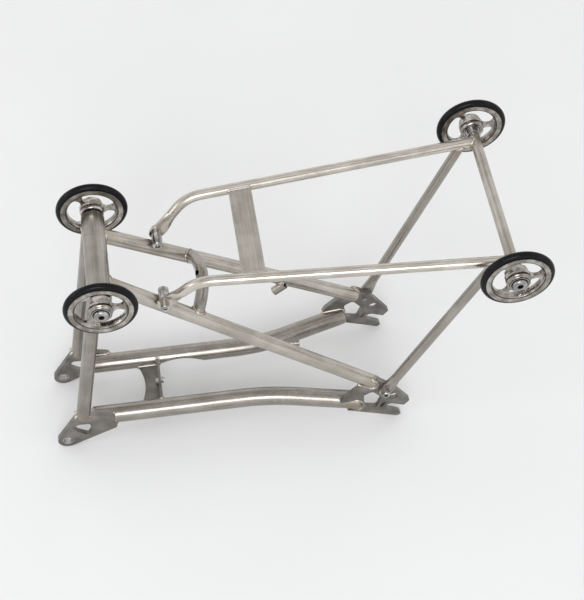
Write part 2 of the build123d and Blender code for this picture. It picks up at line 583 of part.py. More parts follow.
def roller_rim(middle):
    """Make the turned rim, its three-spoked web and its hub in one piece."""
    with BuildPart() as rim:
        add(ring(middle, -rim_half_width, rim_half_width, rim_outer_radius, rim_inner_radius))
        chamfer(rim.edges().filter_by(GeomType.CIRCLE), rim_chamfer)
        with BuildSketch(wheel_plane(middle, -hub_inboard)):
            Circle(hub_radius)
        extrude(amount=hub_inboard + hub_outboard)
        with BuildSketch(wheel_plane(middle, -spoke_thickness / 2)):
            Circle(rim_inner_radius + rim_chamfer)
        extrude(amount=spoke_thickness)
        with BuildSketch(wheel_plane(middle, -spoke_thickness / 2)) as windows:
            Circle(rim_inner_radius)
            Circle(hub_radius, mode=Mode.SUBTRACT)
            with PolarLocations(0, spoke_count):
                Rectangle(rim_outer_radius, spoke_width, align=(Align.MIN, Align.CENTER), mode=Mode.SUBTRACT)
            fillet(windows.vertices(), spoke_fillet)
        extrude(amount=spoke_thickness, mode=Mode.SUBTRACT)
        with Locations(wheel_plane(middle, 0)):
            Torus(tyre_ring_radius, tyre_section_radius, mode=Mode.SUBTRACT)
        with BuildSketch(wheel_plane(middle, -hub_inboard)):
            Circle(bearing_radius - hub_lip)
        extrude(amount=hub_inboard + hub_outboard, mode=Mode.SUBTRACT)
        for face, way in ((outer_bearing_face, -1), (inner_bearing_face, 1)):
            with BuildSketch(wheel_plane(middle, face)):
                Circle(bearing_radius)
            extrude(amount=way * bearing_width, mode=Mode.SUBTRACT)
            with BuildSketch(wheel_plane(middle, face)):
                Circle(seal_radius)
            extrude(amount=-way * seal_height, mode=Mode.SUBTRACT)
    return rim


def wheel_bolt(middle, tube_end):
    """Make the domed shoulder bolt that a wheel turns on, screwed into its tube's plug."""
    head_start = outer_bearing_face + side_gap
    with BuildPart() as bolt:
        with BuildSketch(wheel_plane(middle, tube_end - middle.Y)):
            Circle(shank_radius)
        extrude(amount=middle.Y + head_start - tube_end)
        with BuildSketch(wheel_plane(middle, tube_end - middle.Y)):
            Circle(thread_radius)
        extrude(amount=-thread_length)
        with BuildSketch(wheel_plane(middle, head_start)):
            Circle(head_radius)
        extrude(amount=head_height)
        fillet(bolt.edges().filter_by(GeomType.CIRCLE).sort_by(Axis.Y)[-1], head_round)
        with BuildSketch(wheel_plane(middle, head_start + head_height)):
            RegularPolygon(head_socket_radius, 6)
        extrude(amount=-head_socket_depth, mode=Mode.SUBTRACT)
    return bolt.part


axle_ends = {
    "front": (Vector(cross_x, cross_half_length + front_wheel_standoff, cross_z),
              cross_half_length, cross_radius - cross_wall),
    "rear": (Vector(rack_rear_x, rack_rear_half_length + rear_wheel_standoff, rack_z),
             rack_rear_half_length, rack_rear_radius - rack_wall),
}
for end, (middle, tube_end, tube_bore) in axle_ends.items():
    rim = roller_rim(middle)
    export_pair(rim, f"{end}_rim")

    with BuildPart() as tyre:
        with Locations(wheel_plane(middle, 0)):
            Torus(tyre_ring_radius, tyre_section_radius)
    export_pair(tyre, f"{end}_tyre")

    with BuildPart() as bearings:
        bore = shank_radius + running_gap
        add(ring(middle, outer_bearing_face - bearing_width, outer_bearing_face, bearing_radius, bore))
        add(ring(middle, inner_bearing_face, inner_bearing_face + bearing_width, bearing_radius, bore))
    export_pair(bearings, f"{end}_bearings")

    with BuildPart() as seals:
        add(ring(middle, outer_bearing_face, hub_outboard + seal_proud,
                 seal_radius, head_radius + side_gap))
        add(ring(middle, -hub_inboard - seal_proud, inner_bearing_face,
                 seal_radius, spacer_radius + side_gap))
    export_pair(seals, f"{end}_seals")

    spacer_start = tube_end - middle.Y + washer_thickness
    spacer_end = inner_bearing_face - side_gap
    export_both(wheel_bolt(middle, tube_end), f"{end}_wheel_bolts")
    plug_end = tube_end - middle.Y
    export_both(ring(middle, plug_end, spacer_start, washer_radius, shank_radius), f"{end}_washers")
    export_both(ring(middle, spacer_start, spacer_end, spacer_radius, shank_radius), f"{end}_spacers")
    export_both(ring(middle, plug_end - plug_length, plug_end, tube_bore, thread_radius), f"{end}_plugs")
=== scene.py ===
# %% [markdown]
# # The rear frame of a folding bicycle, in bare titanium
#
# The metal shapes come from the CAD model, which is loaded first and stays where it is.
# Blender adds what CAD leaves out: the rippled weld beads, the shaped roller rims, the finish of each
# metal, the rubber of the tyres, the floor, the light and the camera. Lengths are in metres, and those
# that read better in millimetres are multiplied by `MM`. +X is the rear, +Y the rider's right, +Z up.

# %% Load the frame
import math

import bpy
from mathutils import Matrix, Vector


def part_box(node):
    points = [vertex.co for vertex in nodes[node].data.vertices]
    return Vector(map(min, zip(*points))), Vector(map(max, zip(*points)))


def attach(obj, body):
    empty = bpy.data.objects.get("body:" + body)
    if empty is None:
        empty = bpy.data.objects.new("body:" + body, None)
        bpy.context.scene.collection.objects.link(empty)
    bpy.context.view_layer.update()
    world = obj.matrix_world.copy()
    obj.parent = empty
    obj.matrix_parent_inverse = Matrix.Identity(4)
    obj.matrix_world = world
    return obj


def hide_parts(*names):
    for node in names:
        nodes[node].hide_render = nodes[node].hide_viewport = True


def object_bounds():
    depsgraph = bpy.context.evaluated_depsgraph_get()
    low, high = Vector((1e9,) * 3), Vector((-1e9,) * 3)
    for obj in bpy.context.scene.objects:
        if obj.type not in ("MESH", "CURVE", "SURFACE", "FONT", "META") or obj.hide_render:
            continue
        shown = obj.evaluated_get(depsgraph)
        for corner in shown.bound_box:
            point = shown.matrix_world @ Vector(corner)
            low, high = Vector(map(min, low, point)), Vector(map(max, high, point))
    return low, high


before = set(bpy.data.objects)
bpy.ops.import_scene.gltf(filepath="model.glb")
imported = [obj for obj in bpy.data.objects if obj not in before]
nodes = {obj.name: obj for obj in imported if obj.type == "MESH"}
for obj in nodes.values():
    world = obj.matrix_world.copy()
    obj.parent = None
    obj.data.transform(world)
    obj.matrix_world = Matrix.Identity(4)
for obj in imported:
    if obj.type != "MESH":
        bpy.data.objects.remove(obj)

cad_low, cad_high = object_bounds()
MM = 0.001
SIDES = {"left": -1, "right": 1}  # each side, and which way it lies along Y
print("CAD nodes:", len(nodes), "box:", cad_low, cad_high)

# %% [markdown]
# ## The camera
#
# A long lens from above the rider's left keeps the tubes nearly parallel. The camera is turned by three
# directions of its own: what is right, up and behind it. They are written as the columns of a matrix,
# which is surer than three turning angles.

# %% Camera
CAMERA_PLACE = Vector((0.1393, -0.9369, 1.3130))
CAMERA_RIGHT = Vector((0.98878, -0.14604, -0.03132))
CAMERA_UP = Vector((0.13376, 0.77246, 0.62081))
CAMERA_BACK = CAMERA_RIGHT.cross(CAMERA_UP)
CAMERA_LENS, SENSOR_WIDTH = 92.86, 36
FAR_CLIP = 50

bpy.ops.object.camera_add(location=CAMERA_PLACE)
camera = bpy.context.object
turn = Matrix((CAMERA_RIGHT, CAMERA_UP, CAMERA_BACK)).transposed()
camera.rotation_euler = turn.to_euler()
camera.data.lens = CAMERA_LENS
camera.data.sensor_width = SENSOR_WIDTH
camera.data.clip_end = FAR_CLIP
bpy.context.scene.camera = camera
print("camera looks along", -CAMERA_BACK)

# %% [markdown]
# ## Shader maths as Python
#
# A finish is built from nodes, but it reads better as arithmetic. `Value` wraps one output socket, and
# its operators add Math nodes, so `1 - mask * 0.3` is written as it is said. Every other node comes
# from `Finish.node`, which sets the node's own settings first and then its sockets. A noise's scale is
# how many of its features fit in a metre, and `between` stretches what lies between two levels.


# %% Values that carry their own arithmetic
class Value:
    """One output socket, with Python's operators."""

    def __init__(self, finish, socket):
        self.finish, self.socket = finish, socket

    def math(self, operation, first, second):
        return self.finish.node("ShaderNodeMath", {"operation": operation}, {0: first, 1: second})

    def __add__(self, other):
        return self.math("ADD", self, other)

    def __sub__(self, other):
        return self.math("SUBTRACT", self, other)

    def __rsub__(self, other):
        return self.math("SUBTRACT", other, self)

    def __mul__(self, other):
        return self.math("MULTIPLY", self, other)

    __radd__, __rmul__ = __add__, __mul__


class Finish:
    """The shader of a material or a world, and the one method that adds its nodes."""

    def __init__(self, holder):
        self.holder = holder
        holder.use_nodes = True
        self.tree = holder.node_tree
        self.tree.nodes.clear()

    def node(self, kind, settings, sockets, output=0):
        """Add a node: its settings first, then the values or links of its sockets."""
        made = self.tree.nodes.new(kind)
        for key, value in settings.items():
            if key == "stops":
                ramp = made.color_ramp.elements
                while len(ramp) < len(value):
                    ramp.new(1.0)
                for stop, (place, colour) in zip(ramp, value):
                    stop.position, stop.color = place, colour
            else:
                setattr(made, key, value)
        for key, value in sockets.items():
            if isinstance(value, Value):
                self.tree.links.new(value.socket, made.inputs[key])
            else:
                made.inputs[key].default_value = value
        return Value(self, made.outputs[output]) if made.outputs else None

    def place(self):
        """Where a point is on the object, in metres."""
        return self.node("ShaderNodeTexCoord", {}, {}, "Object")

    def vector(self, operation, first, second, output=0):
        return self.node("ShaderNodeVectorMath", {"operation": operation}, {0: first, 1: second}, output)

    def scaled(self, vector, amount):
        return self.node("ShaderNodeVectorMath", {"operation": "SCALE"}, {0: vector, "Scale": amount})

    def noise(self, vector, scale, detail=3.0, roughness=0.5):
        return self.node("ShaderNodeTexNoise", {}, {
            "Vector": vector, "Scale": scale, "Detail": detail, "Roughness": roughness})

    def rings(self, radius, scale, detail):
        """Noise that follows one number, so it makes rings where the number is a radius."""
        return self.node("ShaderNodeTexNoise", {"noise_dimensions": "1D"}, {
            "W": radius * scale, "Detail": detail})

    def between(self, value, low, high):
        """Turn a value into 0 to 1 between two levels, with soft ends."""
        return self.node("ShaderNodeMapRange", {"interpolation_type": "SMOOTHSTEP"}, {
            "Value": value, "From Min": low, "From Max": high})

    def mix(self, factor, first, second):
        """Blend two colours."""
        return self.node("ShaderNodeMix", {"data_type": "RGBA"}, {0: factor, 6: first, 7: second}, 2)

    def bump(self, height, distance, strength):
        return self.node("ShaderNodeBump", {}, {
            "Height": height, "Distance": distance, "Strength": strength})

    def surface(self, sockets):
        """Close the material with a Principled shader."""
        shader = self.node("ShaderNodeBsdfPrincipled", {}, sockets)
        self.node("ShaderNodeOutputMaterial", {}, {"Surface": shader})
        return self.holder

    def metal(self, colour, roughness, normal):
        """Close the material as bare metal."""
        return self.surface({
            "Base Color": colour, "Metallic": 1.0, "Roughness": roughness, "Normal": normal})


# %% [markdown]
# ## Brushed titanium tube
#
# The tubes were brushed along their length and never painted. Titanium is a warm, rather dark grey, and
# brushing draws its highlights out sideways. The streaks follow each tube, so the pattern's coordinates
# are squeezed along the tube's direction. Near a weld the metal took heat and went a little straw
# coloured and dull: that is a soft mask of the distance to each weld.

# %% Titanium
TITANIUM = (0.285, 0.262, 0.230, 1)
TITANIUM_LIGHT = (0.42, 0.395, 0.358, 1)
HEAT_STRAW = (0.33, 0.265, 0.195, 1)
TUBE_ROUGH = 0.18
STREAK_ACROSS, STREAK_ALONG = 1500.0, 26.0
GRAIN, MOTTLE = 5200.0, 38.0
STREAK_SHARE, MOTTLE_SHARE = 0.55, 0.45  # how much each takes part in the colour
TUBE_LEVELS = 0.38, 0.66
STREAK_ROUGH, MOTTLE_ROUGH, HEAT_ROUGH = 0.10, 0.06, 0.05
STREAK_HEIGHT, GRAIN_HEIGHT = 0.7, 0.5
BRUSH_DEPTH, BRUSH_STRENGTH = 0.00004, 0.55
HEAT_REACH, HEAT_CORE = 0.016, 0.25  # the core is a share of the reach
HEAT_TINT = 0.45


def shade(colour, tone):
    """Return a colour made darker or lighter by a tone."""
    return [part * tone for part in colour[:3]] + [1]


def heat(finish, place, welds):
    """How much heat a point took: 1 at a weld and 0 beyond its reach."""
    total = None
    for weld_place in welds:
        distance = finish.vector("DISTANCE", place, weld_place, "Value")
        near = 1 - finish.between(distance, HEAT_REACH * HEAT_CORE, HEAT_REACH)
        total = near if total is None else near.math("MAXIMUM", total, near)
    return total


def titanium(name, along, welds=(), tone=1.0, rough=TUBE_ROUGH):
    """Make bare titanium brushed along a direction, heat-marked near its welds."""
    finish = Finish(bpy.data.materials.new(name))
    place = finish.place()
    way = Vector(along).normalized()
    run = finish.vector("DOT_PRODUCT", place, way, "Value")
    drawn_out = finish.scaled(way, run * (STREAK_ALONG - STREAK_ACROSS))
    streak_place = finish.vector("ADD", finish.scaled(place, STREAK_ACROSS), drawn_out)
    streaks = finish.noise(streak_place, 1.0, 4.0, 0.6)
    grain = finish.noise(place, GRAIN, 2.0)
    mottle = finish.noise(place, MOTTLE, 3.0)
    light = finish.between(streaks * STREAK_SHARE + mottle * MOTTLE_SHARE, *TUBE_LEVELS)
    colour = finish.mix(light, shade(TITANIUM, tone), shade(TITANIUM_LIGHT, tone))
    roughness = rough + streaks * STREAK_ROUGH + mottle * MOTTLE_ROUGH
    if welds:
        hot = heat(finish, place, welds)
        colour = finish.mix(hot * HEAT_TINT, colour, HEAT_STRAW)
        roughness = roughness + hot * HEAT_ROUGH
    normal = finish.bump(streaks * STREAK_HEIGHT + grain * GRAIN_HEIGHT, BRUSH_DEPTH, BRUSH_STRENGTH)
    return finish.metal(colour, roughness, normal)


# %% [markdown]
# ## Cut plate
#
# The pivot plates and dropouts are cut from sheet and left blasted, so they are darker and flatter than
# the tubes. Where a weld was cleaned afterwards they are brighter and smoother.

# %% Cut plate
PLATE_DARK = (0.16, 0.152, 0.14, 1)
PLATE_LIGHT = (0.29, 0.277, 0.255, 1)
PLATE_ROUGH = 0.36
BLAST, CLOUD = 2600.0, 70.0
BLAST_SHARE, CLOUD_SHARE = 0.3, 0.7
PLATE_LEVELS = 0.36, 0.66
BLAST_ROUGH, CLOUD_ROUGH = 0.14, 0.08
BLAST_DEPTH, BLAST_STRENGTH = 0.00006, 0.7
CLEANED_TINT, CLEANED_SMOOTH = 0.6, 0.16


def cut_plate(name, welds=()):
    """Make blasted titanium sheet, brighter where a weld was cleaned."""
    finish = Finish(bpy.data.materials.new(name))
    place = finish.place()
    blast = finish.noise(place, BLAST, 3.0, 0.65)
    cloud = finish.noise(place, CLOUD, 4.0)
    light = finish.between(cloud * CLOUD_SHARE + blast * BLAST_SHARE, *PLATE_LEVELS)
    colour = finish.mix(light, PLATE_DARK, PLATE_LIGHT)
    roughness = PLATE_ROUGH + blast * BLAST_ROUGH + cloud * CLOUD_ROUGH
    if welds:
        hot = heat(finish, place, welds)
        colour = finish.mix(hot * CLEANED_TINT, colour, TITANIUM_LIGHT)
        roughness = roughness - hot * CLEANED_SMOOTH
    return finish.metal(colour, roughness, finish.bump(blast, BLAST_DEPTH, BLAST_STRENGTH))


# %% [markdown]
# ## Turned metal
#
# The roller rims are turned and polished. Very fine rings run round the axle, which only show as a
# slight spread of each reflection, and broader bands of tone follow them. Shade is painted dark into the
# grooves and gaps of the rims and bolts and into the bolts' hex sockets. A groove is given by the radii
# of its two sides.

# %% Turned metal
# Painted shade: the dark colour laid into grooves, gaps and sockets.
GROOVE_SHADE = (0.022, 0.020, 0.018, 1)
GROOVE_SHADE_EDGE = 0.0003
GROOVE_SHADE_COVER, GROOVE_SHADE_ROUGH = 0.88, 0.25
SMEAR, FINE = 120.0, 1500.0
RINGS, BANDS = 4200.0, 700.0
SMEAR_LEVELS, BAND_LEVELS = (0.35, 0.7), (0.40, 0.62)
SMEAR_ROUGH, RING_ROUGH = 0.10, 0.06
BAND_TINT = 0.55
RING_HEIGHT, FINE_HEIGHT = 0.8, 0.2
TURNED_DEPTH, TURNED_STRENGTH = 0.00003, 0.7


def turned(name, dark, light, rough, middle=None, shaded_grooves=()):
    """Make polished metal; round a given axle, add fine turned rings and painted shade in grooves."""
    finish = Finish(bpy.data.materials.new(name))
    place = finish.place()
    smear = finish.noise(place, SMEAR, 3.0)
    fine = finish.noise(place, FINE, 2.0)
    colour = finish.mix(finish.between(smear, *SMEAR_LEVELS), dark, light)
    roughness = rough + smear * SMEAR_ROUGH
    height = fine
    if middle is not None:
        out = finish.vector("SUBTRACT", place, middle)
        flat = finish.vector("MULTIPLY", out, (1, 0, 1))
        radius = finish.vector("LENGTH", flat, (0, 0, 0), "Value")
        rings = finish.rings(radius, RINGS, 2.0)
        bands = finish.rings(radius, BANDS, 3.0)
        colour = finish.mix(finish.between(bands, *BAND_LEVELS) * BAND_TINT, colour, dark)
        height = rings * RING_HEIGHT + fine * FINE_HEIGHT
        roughness = roughness + rings * RING_ROUGH
        # Painted shade: darken each groove between its two radii, and make it rougher.
        for inner, outer in shaded_grooves:
            inside = finish.between(radius, inner - GROOVE_SHADE_EDGE, inner)
            line = inside * (1 - finish.between(radius, outer, outer + GROOVE_SHADE_EDGE))
            colour = finish.mix(line * GROOVE_SHADE_COVER, colour, GROOVE_SHADE)
            roughness = roughness + line * GROOVE_SHADE_ROUGH
    return finish.metal(colour, roughness, finish.bump(height, TURNED_DEPTH, TURNED_STRENGTH))


# %% [markdown]
# ## Rubber and weld metal
#
# The tyres are round rings of smooth black rubber, with a low shine that a little dust makes uneven.
# Weld metal is brighter than the tubes, and thin straw and blue colours from the heat drift over it.

# %% Rubber and weld metal
RUBBER_BLACK = (0.004, 0.004, 0.005, 1)
RUBBER_DUSTY = (0.010, 0.010, 0.012, 1)
RUBBER_ROUGH, DUST_ROUGH = 0.16, 0.14
RUBBER_SHINE = 0.16
DUST, PORES = 420.0, 900.0
DUST_LEVELS = 0.45, 0.75
PORE_DEPTH, PORE_STRENGTH = 0.00002, 0.3

WELD_BRIGHT = (0.56, 0.54, 0.52, 1)
WELD_STRAW = (0.52, 0.44, 0.33, 1)
WELD_BLUE = (0.36, 0.38, 0.46, 1)
TINT, WELD_GRAIN = 320.0, 1800.0
STRAW_LEVELS, BLUE_LEVELS = (0.42, 0.62), (0.60, 0.74)
WELD_ROUGH, WELD_GRAIN_ROUGH = 0.18, 0.14
WELD_DEPTH, WELD_STRENGTH = 0.00005, 0.5


def rubber(name):
    """Make smooth black rubber with a little dust in its shine."""
    finish = Finish(bpy.data.materials.new(name))
    place = finish.place()
    dust = finish.noise(place, DUST, 4.0)
    return finish.surface({
        "Base Color": finish.mix(finish.between(dust, *DUST_LEVELS), RUBBER_BLACK, RUBBER_DUSTY),
        "Roughness": RUBBER_ROUGH + dust * DUST_ROUGH,
        "Specular IOR Level": RUBBER_SHINE,
        "Normal": finish.bump(finish.noise(place, PORES, 2.0), PORE_DEPTH, PORE_STRENGTH)})


def weld_metal(name):
    """Make weld metal: bright ripples with thin straw and blue heat colours."""
    finish = Finish(bpy.data.materials.new(name))
    place = finish.place()
    tint = finish.noise(place, TINT, 2.0)
    grain = finish.noise(place, WELD_GRAIN, 2.0)
    warm = finish.mix(finish.between(tint, *STRAW_LEVELS), WELD_BRIGHT, WELD_STRAW)
    colour = finish.mix(finish.between(tint, *BLUE_LEVELS), warm, WELD_BLUE)
    roughness = WELD_ROUGH + grain * WELD_GRAIN_ROUGH
    return finish.metal(colour, roughness, finish.bump(grain, WELD_DEPTH, WELD_STRENGTH))


# %% [markdown]
# ## Weld beads
#
# A welder joins titanium with a row of small overlapping puddles, so each seam is a rope of ripples.
# The seam is where one CAD piece's sharp edge lies on another piece. So a copy of the first piece is
# merged, its sharp edges are selected, those that are off the second piece are dropped, and what stays
# is joined end to end into lines. A tube's end is rounded where it is slotted over a plate, and stands
# a little off the plate's edges, so those seams are looked for with a wider touch.

# %% Find the seams
TOUCH, WIDE_TOUCH = 0.00035, 0.0016
MERGE = 0.000002
SHARP = math.radians(32)


def only(obj):
    """Select one object and make it active."""
    bpy.ops.object.select_all(action="DESELECT")
    obj.select_set(True)
    bpy.context.view_layer.objects.active = obj


def seam_lines(branch, main, keep, touch):
    """Return the chains of points where a piece's sharp edges lie on another piece, longest first."""
    only(nodes[branch])
    bpy.ops.object.duplicate()
    copy = bpy.context.object
    bpy.ops.object.mode_set(mode="EDIT")
    bpy.ops.mesh.select_all(action="SELECT")
    bpy.ops.mesh.remove_doubles(threshold=MERGE)
    bpy.ops.mesh.select_all(action="DESELECT")
    bpy.ops.mesh.select_mode(type="EDGE")
    bpy.ops.mesh.edges_select_sharp(sharpness=SHARP)
    bpy.ops.object.mode_set(mode="OBJECT")
    mesh = copy.data
    on_main = [(nodes[main].closest_point_on_mesh(v.co)[1] - v.co).length < touch for v in mesh.vertices]
    edges = [e.vertices[:] for e in mesh.edges if e.select and all(on_main[i] for i in e.vertices)]
    points = {i: mesh.vertices[i].co.copy() for e in edges for i in e}
    bpy.data.objects.remove(copy)
    lines = [[points[i] for i in chain] for chain in chains(edges)]
    return sorted(lines, key=line_length, reverse=True)[:keep]


def chains(edges):
    """Join edges end to end into open or closed runs of vertex numbers."""
    beside = {}
    for a, b in edges:
        beside.setdefault(a, []).append(b)
        beside.setdefault(b, []).append(a)
    left = {frozenset(e) for e in edges}
    runs = []
    starts = [v for v in beside if len(beside[v]) != 2] + list(beside)
    for start in starts:
        step = next((v for v in beside[start] if frozenset((start, v)) in left), None)
        run = [start]
        while step is not None:
            left.discard(frozenset((run[-1], step)))
            run.append(step)
            ahead = [v for v in beside[step] if frozenset((step, v)) in left]
            step = ahead[0] if len(beside[step]) == 2 and ahead else None
        if len(run) > 2:
            runs.append(run)
    return runs


def line_length(line):
    return sum((b - a).length for a, b in zip(line, line[1:]))


# %% [markdown]
# Each line then becomes a thick curve. It is walked in half ripples, and the curve's radius swells at
# one step and shrinks at the next, which makes the puddles. A closed seam needs an even number of steps,
# or two swellings would meet where it closes. The wide seams are filled by a thicker bead.

# %% Lay a bead
RIPPLE = 0.0013  # from one puddle to the next
SWELL = 0.26  # how much a puddle adds to the radius, and the gap after it takes off
BEAD, WIDE_BEAD = 0.0012, 0.0015
BEAD_ROUNDNESS = 2
HAIR = 1e-9  # lets rounding errors pass


def stepped(line, pitch):
    """Walk along a line of points and put a point every pitch."""
    count = max(2, round(line_length(line) / pitch))
    step = line_length(line) / count
    walked, wanted, out = 0.0, 0.0, []
    for a, b in zip(line, line[1:]):
        run = (b - a).length
        while wanted <= walked + run + HAIR and run > 0:
            out.append(a.lerp(b, min(1.0, (wanted - walked) / run)))
            wanted += step
        walked += run
    return out


def weld(name, branch, main, material, keep=1, bead=BEAD, touch=TOUCH):
    """Lay rippled beads along the seam of two CAD pieces, as one mesh piece."""
    lines = seam_lines(branch, main, keep, touch)
    bpy.ops.curve.primitive_bezier_circle_add(radius=bead)
    curve = bpy.context.object
    curve.data.splines.clear()
    curve.data.dimensions = "3D"
    curve.data.bevel_depth = bead
    curve.data.bevel_resolution = BEAD_ROUNDNESS
    curve.data.use_fill_caps = True
    for line in lines:
        closed = (line[0] - line[-1]).length < MERGE
        steps = stepped(line, RIPPLE / 2)
        if closed and (steps[0] - steps[-1]).length < RIPPLE / 4:
            steps = steps[:-1]
        if closed and len(steps) % 2:
            steps = steps[:-1]
        spline = curve.data.splines.new("POLY")
        spline.points.add(len(steps) - 1)
        for i, (point, at) in enumerate(zip(spline.points, steps)):
            point.co = (*at, 1)
            point.radius = 1 + (SWELL if i % 2 else -SWELL)
        spline.use_cyclic_u = closed
    bpy.ops.object.convert(target="MESH")
    piece = bpy.context.object
    bpy.ops.object.transform_apply(location=True, rotation=True, scale=True)
    bpy.ops.object.shade_smooth()
    piece.name = piece.data.name = name
    piece.data.materials.clear()
    piece.data.materials.append(material)
    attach(piece, "frame")
    print(name, "beads:", [round(line_length(line) / MM) for line in lines], "mm")


# %% [markdown]
# ## Read directions and weld places from the CAD
#
# A tube's finish needs the direction it was brushed in, and the heat marks need the weld places. Both
# come from the boxes of the CAD pieces. A straight tube runs from one corner of its box to another, and
# its welds are a few millimetres in from such corners: a strut's foot and top, a stay's two ends, and
# where the rack's tubes meet.


# %% Boxes and paint
def box_of(node):
    """Return the low and high corners of a CAD piece's box."""
    low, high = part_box(node)
    return Vector(low), Vector(high)


def middle_of(node):
    low, high = box_of(node)
    return (low + high) / 2


def spot(x, y, z, back, up):
    """Return a point moved back and up by so many millimetres."""
    return Vector((x + back * MM, y, z + up * MM))


def paint(node, material):
    """Put one material on a CAD piece."""
    slots = nodes[node].data.materials
    slots.clear()
    slots.append(material)


# %% Brushing directions and weld places
STRUT_WIDTH = 14 * MM
STAY_SPREAD, RACK_SPREAD = 28 * MM, 10 * MM  # how far a stay leans outward from end to end
CHAIN_INSIDE, RACK_OUTSIDE = 8 * MM, 8 * MM  # how far a weld is to one side of the plate or the stay
CHAIN_STAY_WAY = Vector((1, 0, -0.03))

ways, weld_places = {}, {}
for side, sign in SIDES.items():
    strut_low, strut_high = box_of(f"front_strut_{side}")
    stay_low, stay_high = box_of(f"seatstay_{side}")
    chain_low, chain_high = box_of(f"chainstay_{side}")
    rack_low, rack_high = box_of(f"rack_stay_{side}")
    ways[side] = {
        "strut": Vector((strut_high.x - strut_low.x - STRUT_WIDTH, 0, strut_high.z - strut_low.z)),
        "stay": Vector((stay_high.x - stay_low.x, sign * STAY_SPREAD, stay_low.z - stay_high.z)),
        "chain": CHAIN_STAY_WAY,
        "rack": Vector((rack_high.x - rack_low.x, sign * RACK_SPREAD, rack_high.z - rack_low.z)),
    }
    boss, plate = middle_of(f"rack_boss_{side}"), middle_of(f"pivot_plate_{side}")
    strut_y, rear_y = middle_of(f"front_strut_{side}").y, middle_of(f"dropout_{side}").y
    stay_y = middle_of(f"seatstay_{side}").y - sign * STAY_SPREAD / 2
    chain_y = plate.y - sign * CHAIN_INSIDE
    rack_y = middle_of(f"rack_stay_{side}").y + sign * RACK_OUTSIDE
    weld_places[side] = {
        "strut": [spot(strut_low.x, strut_y, strut_low.z, 8, 6),
                  spot(strut_high.x, strut_y, strut_high.z, -9, -6)],
        "stay": [spot(stay_low.x, stay_y, stay_high.z, 6, -8),
                 spot(boss.x, boss.y, boss.z, 0, -8),
                 spot(stay_high.x, rear_y, stay_low.z, -12, 8)],
        "chain": [spot(chain_low.x, chain_y, plate.z, 8, 4),
                  spot(chain_high.x, rear_y, chain_low.z, -10, 9)],
        "rack": [spot(rack_high.x, rack_y, rack_high.z, -4, -4)],
    }
    print(side, {key: len(spots) for key, spots in weld_places[side].items()})
print("strut runs along", ways["right"]["strut"].normalized())

# %% [markdown]
# ## The finishes, piece by piece
#
# Every tube is the same titanium, but each has a tone of its own that its colour is multiplied by, which
# makes some tubes lighter or darker than others.

# %% Paint the tubes and plates
SIDE_TUBES = (
    ("front_strut", "strut", "strut_titanium", 0.9),
    ("seatstay", "stay", "seat_stay_titanium", 1.3),
    ("chainstay", "chain", "chain_stay_titanium", 0.97),
    ("rack_stay", "rack", "rack_stay_titanium", 1.0),
)
CROSS_TONE, REAR_TONE, RACK_SIDE_TONE, BRIDGE_TONE = 0.98, 1.3, 1.6, 0.95
RACK_PLATE_TONE, RACK_PLATE_ROUGH = 1.36, 0.34
RACK_CORNER = 75.8 * MM  # from the middle of the rear tube to a side tube
FORWARD, ACROSS, BRIDGE_WAY = (1, 0, 0), (0, 1, 0), (0, 1, 0.2)

for side in SIDES:
    places = weld_places[side]
    for node, key, metal, tone in SIDE_TUBES:
        paint(f"{node}_{side}", titanium(f"{metal}_{side}", ways[side][key], places[key], tone))
    plate_welds = [places["strut"][0], places["chain"][0]]
    paint(f"pivot_plate_{side}", cut_plate(f"pivot_plate_metal_{side}", plate_welds))
    drop_welds = [places["stay"][2], places["chain"][1]]
    paint(f"dropout_{side}", cut_plate(f"dropout_metal_{side}", drop_welds))

cross_welds = [weld_places[s]["strut"][1] for s in SIDES] + [weld_places[s]["stay"][0] for s in SIDES]
paint("cross_tube", titanium("cross_tube_titanium", ACROSS, cross_welds, CROSS_TONE))
rear_middle = middle_of("rack_rear_tube")
rear_welds = [rear_middle + Vector((0, sign * RACK_CORNER, 0)) for sign in SIDES.values()]
paint("rack_rear_tube", titanium("rear_tube_titanium", ACROSS, rear_welds, REAR_TONE))
side_tube = titanium("rack_side_titanium", FORWARD, rear_welds, RACK_SIDE_TONE)
for side in SIDES:
    paint(f"rack_side_tube_{side}", side_tube)
bridge_finish = titanium("bridge_titanium", BRIDGE_WAY, (), BRIDGE_TONE)
for node in ("brake_bridge", "cable_stop", "cable_guide"):
    paint(node, bridge_finish)
sheet = cut_plate("sheet_titanium")
for node in ("lamp_plate", "chainstay_yoke"):
    paint(node, sheet)
paint("rack_plate", titanium("rack_plate_titanium", ACROSS, (), RACK_PLATE_TONE, RACK_PLATE_ROUGH))

# %% Paint the wheels and the hardware
RIM_DARK, RIM_LIGHT = (0.24, 0.215, 0.185, 1), (0.60, 0.58, 0.55, 1)
STEEL_DARK, STEEL_LIGHT = (0.28, 0.27, 0.26, 1), (0.64, 0.63, 0.62, 1)
RIM_ROUGH, BOLT_ROUGH, HARDWARE_ROUGH = 0.05, 0.07, 0.14
# Radii between which shade is painted dark: the gaps and steps of the rims, and the bolts' socket and
# ring.
RIM_SHADED_GROOVES = ((0.0088, 0.0093), (0.0243, 0.0250), (0.0296, 0.0304))
BOLT_SHADED_GROOVES = ((-0.001, 0.0027), (0.0071, 0.0078))  # painted shade: the first is the hex socket, the second the ring round the head

